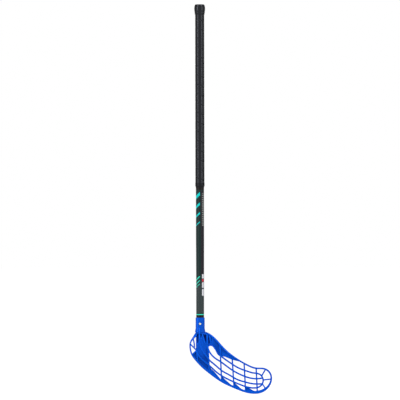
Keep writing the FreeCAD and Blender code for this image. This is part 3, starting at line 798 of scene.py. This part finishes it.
@dataclass
class WoundGrip:
    """Cushioned tape wound round the tube, each turn a low pillow that meets the next in a shallow seam."""

    high: float = 0.252
    inner_radius: float = 0.0121
    thickness: float = 0.0013
    lower_drop: float = 0.0004
    upper_drop: float = 0.0006
    edge_width: float = 0.0028
    edge_steps: int = 7
    tape_width: float = 0.0274
    steps_per_turn: float = 72.0
    sharp_degrees: float = 50.0

    def _section(self) -> list[Point]:
        """Tape's section: outward and upward from its lower inner edge."""
        shares = [index / self.edge_steps for index in range(self.edge_steps + 1)]
        lower = [(self.thickness - self.lower_drop * (1.0 - share) ** 2, self.edge_width * share)
                 for share in shares]
        upper = [(self.thickness - self.upper_drop * share ** 2,
                  self.tape_width - self.edge_width * (1.0 - share)) for share in shares]
        middle = [(self.thickness, self.tape_width * share) for share in (0.3, 0.5, 0.7)]
        return [(0.0, 0.0), *lower, *middle, *upper, (0.0, self.tape_width)]

    def build(self, finish: Material, sweep: HelicalSweep) -> Object:
        """Wind the tape.

        Args:
            finish: the tape's material.
            sweep: the winding's node tree.

        Returns:
            The piece.
        """
        piece = sweep.make("grip_winding", self._section(), finish, {
            "Turns": (self.high - GRIP_LOW) / TAPE_PITCH + LEAD_TURNS, "Radius": self.inner_radius,
            "Pitch": TAPE_PITCH, "Start": TAPE_START, "Steps Per Turn": self.steps_per_turn,
            "Hand": Hand.LEFT.value})
        trim(piece, GRIP_LOW, self.high)
        shade(piece, self.sharp_degrees)
        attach(piece, Body.STICK.value)
        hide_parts("grip_tape")
        return piece


@dataclass
class FinishingBand:
    """Stretched elastic band that holds the grip's lower end and slopes down to the tube."""

    low: float = -0.257
    high: float = -0.243
    over_tape: float = 0.0134
    over_tube: float = 0.0121
    thickness: float = 0.0003
    tail: float = 0.005
    slope: float = 0.0022
    bend: float = 0.0009
    bend_steps: int = 6
    edge: float = 0.0001
    ripples: int = 12
    first_ripple: float = 0.0012
    ripple_pitch: float = 0.0006
    ripple_depth: float = 0.00006
    segments: int = 96
    sharp_degrees: float = 60.0

    def build(self, finish: Material) -> Object:
        """Make the band.

        Args:
            finish: its material.

        Returns:
            The piece.
        """
        shoulder = self.low + self.tail
        thin, wide = self.over_tube + self.thickness, self.over_tape + self.thickness
        foot = (thin, shoulder - self.slope)
        bend = rounded((foot, (wide, shoulder), (wide, self.high)), self.bend, self.bend_steps)
        start = shoulder + self.first_ripple
        ripples = [(wide - self.ripple_depth * (index % 2), start + self.ripple_pitch * index)
                   for index in range(self.ripples)]
        profile = [(self.over_tube, self.low), (thin - self.edge, self.low), (thin, self.low + 2 * self.edge),
                   foot, *bend, *ripples, (wide, self.high - 3 * self.edge), (wide - self.edge, self.high),
                   (self.over_tape, self.high), (self.over_tape, shoulder), (self.over_tube, shoulder)]
        piece = turned("grip_finishing_band", profile, self.segments)
        shade(piece, self.sharp_degrees)
        piece.data.materials.append(finish)
        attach(piece, Body.STICK.value)
        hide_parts("finishing_band")
        return piece


def points_and_normals(mesh: Mesh) -> tuple[np.ndarray, np.ndarray]:
    """Find the places of a mesh's points and their normals.

    Args:
        mesh: the mesh.

    Returns:
        Both, with one row for each point.
    """
    places, normals = np.empty((2, len(mesh.vertices) * 3), np.float32)
    mesh.vertices.foreach_get("co", places)
    mesh.vertex_normals.foreach_get("vector", normals)
    return places.reshape(-1, 3), normals.reshape(-1, 3)


def move_points(mesh: Mesh, places: np.ndarray) -> None:
    """Put a mesh's points in other places, given with one row for each point."""
    mesh.vertices.foreach_set("co", places.astype(np.float32).ravel())
    mesh.update()


@dataclass
class Blade:
    """Moulded blade: the solid with its edges softened as a mould leaves them."""

    same_point: float = 1e-6
    voxel: float = 0.00052
    soft_passes: int = 4
    soft_share: float = 0.5
    most_triangles: int = 180000
    relief_passes: tuple[tuple[str, int], ...] = (("relief", 15), ("hollow", 90))
    relief_height: float = 0.0032
    fullness: float = 0.00036
    full_below: float = -0.688
    full_fade: float = 0.01
    collar_wall: float = 0.0125
    collar_fullness: float = 0.00025
    ridge_height: float = 0.0004
    ridge_facing: float = -0.3

    def _relief(self, mesh: Mesh) -> None:
        """Note on each point how far it stands out of its near and wide surroundings, for the plastic's
        painted highlights and shade.

        A number over a half is an edge or a rib, and one under it a corner or a hollow.

        Args:
            mesh: the mesh that gets the attributes.
        """
        count = len(mesh.vertices)
        places, normals = (rows.astype(float) for rows in points_and_normals(mesh))
        pairs = np.empty(len(mesh.edges) * 2, np.int32)
        mesh.edges.foreach_get("vertices", pairs)
        pairs = pairs.reshape(-1, 2)
        both = np.concatenate([pairs, pairs[:, ::-1]])
        share = np.maximum(np.bincount(both[:, 0], minlength=count), 1)

        def around(numbers: np.ndarray) -> np.ndarray:
            """Mean of the neighbours' numbers."""
            return np.bincount(both[:, 0], weights=numbers[both[:, 1]], minlength=count) / share

        smooth = places
        done = 0
        for name, passes in self.relief_passes:
            for _ in range(passes - done):
                smooth = np.stack([around(smooth[:, axis]) for axis in range(3)], axis=1)
            done = passes
            bend = np.einsum("ij,ij->i", normals, places - smooth)
            bend = 0.5 * bend + 0.5 * around(bend)
            stands = np.clip(0.5 + bend / self.relief_height, 0.0, 1.0).astype(np.float32)
            mesh.attributes.new(name, "FLOAT", "POINT").data.foreach_set("value", stands)

    def _outside(self, places: np.ndarray) -> np.ndarray:
        """Tell which points lie outside the socket's wall."""
        return np.hypot(places[:, 0], places[:, 1]) > self.collar_wall

    def _raise_ridges(self, mesh: Mesh) -> None:
        """Raise the upright ridges on the front of the collar and neck.

        Args:
            mesh: the softened mesh, still with all its points.
        """
        places, normals = points_and_normals(mesh)
        front = self._outside(places) & (normals[:, 1] < self.ridge_facing)
        rise = np.zeros(len(places), np.float32)
        for across, low, high in RIDGES:
            away = np.abs(places[:, 0] - across)
            side = np.clip((RIDGE_REACH - away) / (RIDGE_REACH - RIDGE_CREST), 0.0, 1.0)
            ends = np.minimum(places[:, 2] - low, high - places[:, 2])
            ends = np.clip(0.5 + 0.5 * ends / RIDGE_FADE, 0.0, 1.0)
            rise = np.maximum(rise, self.ridge_height * side * ends * front)
        move_points(mesh, places + normals * rise[:, None])

    def _fill_out(self, mesh: Mesh) -> None:
        """Give back to the ribs and to the collar's sides what the softening took from their width.

        Args:
            mesh: the softened mesh.
        """
        places, normals = points_and_normals(mesh)
        share = np.clip((self.full_below - places[:, 2]) / self.full_fade, 0.0, 1.0)
        outside = self._outside(places)
        places += normals * (self.fullness * share)[:, None]
        places[:, 0] += normals[:, 0] * self.collar_fullness * (1.0 - share) * outside
        move_points(mesh, places)

    def build(self, finish: Material) -> Object:
        """Soften a copy of the blade's solid.

        Args:
            finish: its plastic.

        Returns:
            The piece.
        """
        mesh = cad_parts["blade"].data.copy()
        with edited(mesh) as bm:
            bmesh.ops.remove_doubles(bm, verts=bm.verts, dist=self.same_point)
        mesh.materials.clear()
        piece = link("blade_moulding", mesh)
        solid = link("blade_solid", mesh.copy())
        remesh = piece.modifiers.new("skin", "REMESH")
        remesh.mode = "VOXEL"
        remesh.voxel_size = self.voxel
        wrap = piece.modifiers.new("true_faces", "SHRINKWRAP")
        wrap.target = solid
        soften = piece.modifiers.new("soft_edges", "SMOOTH")
        soften.factor = self.soft_share
        soften.iterations = self.soft_passes
        settle(piece)
        bpy.data.objects.remove(solid)
        self._raise_ridges(piece.data)
        thin = piece.modifiers.new("fewer_faces", "DECIMATE")
        thin.ratio = min(1.0, self.most_triangles / (2.0 * len(piece.data.polygons)))
        settle(piece)
        piece.data.shade_smooth()
        self._fill_out(piece.data)
        self._relief(piece.data)
        piece.data.materials.clear()
        piece.data.materials.append(finish)
        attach(piece, Body.STICK.value)
        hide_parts("blade")
        return piece


@dataclass
class BladeScrew:
    """Pan-head screw with a cross recess and a cut thread."""

    height: float = -0.6571
    seat: float = 0.0126
    length: float = 0.0075
    point: float = 0.002
    core_radius: float = 0.0013
    core_fillet: float = 0.0003
    head_radius: float = 0.0029
    head_height: float = 0.0022
    head_edge: float = 0.0002
    dome: float = 0.0014
    dome_steps: int = 8
    recess_reach: float = 0.0019
    recess_width: float = 0.0011
    recess_depth: float = 0.0013
    recess_taper: float = 0.55
    recess_clear: float = 0.0002
    thread_radius: float = 0.00172
    thread_pitch: float = 0.00125
    thread_start: float = 0.0012
    thread_stop: float = 0.0006
    thread_foot: float = 0.00042
    thread_crest: float = 0.00008
    thread_root: float = -0.0001
    segments: int = 48
    steps_per_turn: float = 36.0
    sharp_degrees: Point = (35.0, 30.0)

    def _head_and_core(self) -> Object:
        """Head and plain core, standing along the Z axis with the point at its foot."""
        top = self.length + self.head_height
        edge = ((self.head_radius, self.length), (self.head_radius, top), (0.0, top))
        dome = rounded(edge, self.dome, self.dome_steps)
        profile = [(0.0, 0.0), (self.core_radius, self.point),
                   (self.core_radius, self.length - self.core_fillet),
                   (self.core_radius + self.core_fillet, self.length),
                   (self.head_radius - self.head_edge, self.length),
                   (self.head_radius, self.length + self.head_edge), *dome, (0.0, top)]
        piece = turned("blade_screw_body", profile, self.segments)
        half = self.recess_width / 2
        for index, (reach, width) in enumerate(((self.recess_reach, half), (half, self.recess_reach))):
            cutter = bpy.data.meshes.new(f"recess_{index}")
            with edited(cutter) as bm:
                bmesh.ops.create_cube(bm, size=2.0)
                for vert in bm.verts:
                    upper = vert.co.z > 0
                    taper = 1.0 if upper else self.recess_taper
                    vert.co = (vert.co.x * reach * taper, vert.co.y * width * taper,
                               top + self.recess_clear if upper else top - self.recess_depth)
            tool = link(f"recess_{index}", cutter)
            cut = piece.modifiers.new("recess", "BOOLEAN")
            cut.operation = "DIFFERENCE"
            cut.object = tool
            settle(piece)
            bpy.data.objects.remove(tool)
        return piece

    def build(self, finish: Material, sweep: HelicalSweep) -> list[Object]:
        """Make the screw.

        Args:
            finish: its plated steel.
            sweep: the thread's node tree.

        Returns:
            The body and the thread.
        """
        body = self._head_and_core()
        body.data.materials.clear()
        body.data.materials.append(finish)
        rise = self.thread_radius - self.core_radius
        section = [(self.thread_root, -self.thread_foot), (rise, -self.thread_crest),
                   (rise, self.thread_crest), (self.thread_root, self.thread_foot)]
        run = self.length - self.thread_stop - self.thread_start
        thread = sweep.make("blade_screw_thread", section, finish, {
            "Turns": run / self.thread_pitch, "Radius": self.core_radius, "Pitch": self.thread_pitch,
            "Start": self.thread_start, "Steps Per Turn": self.steps_per_turn, "Hand": Hand.RIGHT.value})
        for piece, degrees in zip((body, thread), self.sharp_degrees):
            for vert in piece.data.vertices:
                across, up, along = vert.co
                vert.co = (across, self.length - self.seat - along, self.height + up)
            shade(piece, degrees)
            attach(piece, Body.SCREW.value)
        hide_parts("blade_screw")
        return [body, thread]


@dataclass
class Studio:
    """Camera, soft lights and a pale floor for a picture on white."""

    frame_width: float = 1.176
    lens: float = 500.0
    sensor: float = 36.0
    reach: float = 100.0
    aim: Place = (0.0001, 0.0, -0.2931)
    lean_degrees: float = 0.09
    lamps: tuple[tuple[str, Place, Point, float], ...] = (
        ("left_softbox", (-2.3, -1.9, 0.2), (0.7, 2.4), 42.0),
        ("right_softbox", (2.3, -1.9, 0.0), (0.7, 2.4), 32.0),
        ("upper_left_softbox", (-1.5, -1.3, 2.1), (0.6, 0.6), 38.0),
        ("upper_right_softbox", (1.5, -1.3, 2.1), (0.6, 0.6), 38.0))
    ambient: float = 0.28
    floor: float = -0.8626
    floor_size: float = 30.0
    floor_colour: tuple = (0.85, 0.85, 0.85, 1.0)
    floor_roughness: float = 0.9
    shadow_colour: tuple = (0.3, 0.3, 0.3, 1.0)
    floor_glow: float = 0.93

    def camera(self) -> None:
        """Set a level long-lens camera in front of the stick."""
        data = bpy.data.cameras.new("front_camera")
        data.lens = self.lens
        data.sensor_width = self.sensor
        data.clip_end = self.reach
        camera = link("front_camera", data)
        distance = self.frame_width * self.lens / self.sensor
        camera.location = Vector(self.aim) - Vector((0.0, distance, 0.0))
        camera.rotation_euler = (math.radians(90.0), math.radians(self.lean_degrees), 0.0)
        bpy.context.scene.camera = camera

    @staticmethod
    def _seen(graph: Graph) -> NodeSocket:
        """One for rays that show the background: to the camera, in a reflection or through glass."""
        path = graph.node("ShaderNodeLightPath", {}).outputs
        seen = graph.math("MAXIMUM", path["Is Camera Ray"], path["Is Transmission Ray"])
        return graph.math("MAXIMUM", seen, path["Is Glossy Ray"])

    def lights(self) -> None:
        """Light the stick from both sides and a little from above, with soft lamps that face it."""
        for name, place, size, power in self.lamps:
            data = bpy.data.lights.new(name, "AREA")
            data.shape = "RECTANGLE"
            data.size, data.size_y = size
            data.energy = power
            lamp = link(name, data)
            lamp.location = place
            lamp.rotation_euler = (Vector(self.aim) - Vector(place)).to_track_quat("-Z", "Y").to_euler()
            lamp.visible_camera = False
        world = bpy.data.worlds.new("studio")
        bpy.context.scene.world = world
        world.use_nodes = True
        graph = Graph(world.node_tree)
        background = world.node_tree.nodes["Background"].inputs
        graph.feed(background["Color"], (1.0, 1.0, 1.0, 1.0))
        graph.feed(background["Strength"], graph.math("MAXIMUM", self._seen(graph), self.ambient))

    def ground(self) -> None:
        """Lay a pale floor that keeps the stick's shadow."""
        mesh = bpy.data.meshes.new("floor")
        with edited(mesh) as bm:
            bmesh.ops.create_grid(bm, x_segments=1, y_segments=1, size=self.floor_size)
            for vert in bm.verts:
                vert.co.z = self.floor
        floor = link("floor", mesh)
        material = bpy.data.materials.new("pale_floor")
        material.use_nodes = True
        nodes = material.node_tree.nodes
        graph = Graph(material.node_tree)
        shader = nodes["Principled BSDF"]
        graph.feed(shader.inputs["Base Color"], self.floor_colour)
        graph.feed(shader.inputs["Roughness"], self.floor_roughness)
        graph.feed(shader.inputs["Specular IOR Level"], 0.0)
        pale = graph.node("ShaderNodeBsdfDiffuse", {"Color": self.shadow_colour})
        glow = graph.node("ShaderNodeEmission", {"Color": (1.0, 1.0, 1.0, 1.0), "Strength": self.floor_glow})
        white = graph.node("ShaderNodeAddShader", {0: pale, 1: glow})
        blend = graph.node("ShaderNodeMixShader", {
            0: self._seen(graph), 1: shader, 2: white})
        graph.feed(nodes["Material Output"].inputs["Surface"], blend)
        mesh.materials.append(material)


RUBBER = KnobRubber("knob_rubber", (0.007, 0.0075, 0.009), 0.3, worn=(0.014, 0.0145, 0.017),
                    grain_scale=1500.0, grain_depth=0.0001, specular=0.24, grooves=(0.2535, 0.2614),
                    groove_reach=0.0018, rubbed=(0.2635, 0.2680))
TAPE = WoundTape("grip_tape_cushion", (0.0066, 0.0071, 0.0086), 0.26, worn=(0.0118, 0.0125, 0.0148),
                 grain_scale=900.0, grain_depth=0.00015, specular=0.24)
ELASTIC = SoftBlack("band_elastic", (0.006, 0.006, 0.007), 0.4, worn=(0.012, 0.012, 0.014),
                    grain_scale=2200.0, grain_depth=0.00006, specular=0.15)
GREEN = (0.03, 0.68, 0.48)
PRINTED = (0.52, 1.15)
LACQUER = TubeLacquer(
    "tube_lacquer", (0.0052, 0.0162, 0.0158), 0.45, fibre=(0.009, 0.0235, 0.0226),
    lower=(0.033, 0.044, 0.046), fade=(-0.5575, -0.513), paints=(
        # Dark panel down the right
        Paint((0.0085, 0.0075, 0.0115), ((-0.515, -0.266),), (0.2, 1.9)),
        # Slanted bars on the left, above and below
        Paint((0.0, 0.51, 0.49), ((-0.3587, -0.35561), (-0.33398, -0.328315), (-0.307715, -0.29999),
                                  (-0.27939, -0.269605)), (-1.75, -0.02), slanted=True),
        Paint(GREEN, ((-0.539665, -0.537775), (-0.53053, -0.527695), (-0.51919, -0.51541)),
              (-1.35, -0.05), slanted=True),
        # Row of ticks above and dashes below on the right
        Paint((0.20, 0.21, 0.20), ((-0.369, -0.27321),), PRINTED, ticked=True),
        Paint((0.66, 0.66, 0.70), ((-0.574, -0.5551), (-0.55132, -0.53494), (-0.5236, -0.511)), PRINTED),
        Paint((0.62, 0.03, 0.06), ((-0.53242, -0.52612),), PRINTED),
        # Dark tube in the collar and under the grip, and the ring above the collar
        Paint((0.006, 0.004, 0.004), ((-0.6586, -0.6264), (-0.2634, 0.0))),
        Paint(GREEN, ((-0.6311, -0.6284),)),
    ))
# Blue plastic: edge colours its mottling and, as a painted highlight, its crests; the darker colour is
# painted shade in hollows; line is a painted highlight on the neck's crests and ridges
PLASTIC = MouldedPlastic("blade_plastic", (0.0, 0.069, 0.500), 0.4, edge=(0.0, 0.074, 0.515),
                         hollow_shade=(0.0, 0.037, 0.29), line=(0.002, 0.135, 0.90),
                         neck_foot=(-0.765, -0.725), neck_head=(-0.690, -0.684), specular=0.06)
PLATED = PlatedSteel("screw_plating", (0.78, 0.77, 0.42), 0.4, tint=(0.84, 0.85, 0.58))


def dress_tube(finish: Material) -> Object:
    """Give the tube's solid its lacquer.

    Args:
        finish: the lacquer.

    Returns:
        The tube.
    """
    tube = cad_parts["shaft"]
    tube.data.materials.clear()
    tube.data.materials.append(finish)
    return tube


def main() -> None:
    """Build and dress every piece, and set up the studio."""
    logging.basicConfig(level=logging.INFO, format="%(message)s")
    bpy.context.scene.view_settings.view_transform = "Standard"
    effects = SurfaceEffects()
    sweep = HelicalSweep()
    pieces = [
        EndCap().build(RUBBER.material(effects)),
        WoundGrip().build(TAPE.material(effects), sweep),
        FinishingBand().build(ELASTIC.material(effects)),
        dress_tube(LACQUER.material(effects)),
        Blade().build(PLASTIC.material(effects)),
        *BladeScrew().build(PLATED.material(effects), sweep),
    ]
    for piece in pieces:
        LOG.info("%s: %d points, %d faces", piece.name, len(piece.data.vertices), len(piece.data.polygons))
    studio = Studio()
    studio.camera()
    studio.lights()
    studio.ground()


if __name__ == "__main__":
    main()
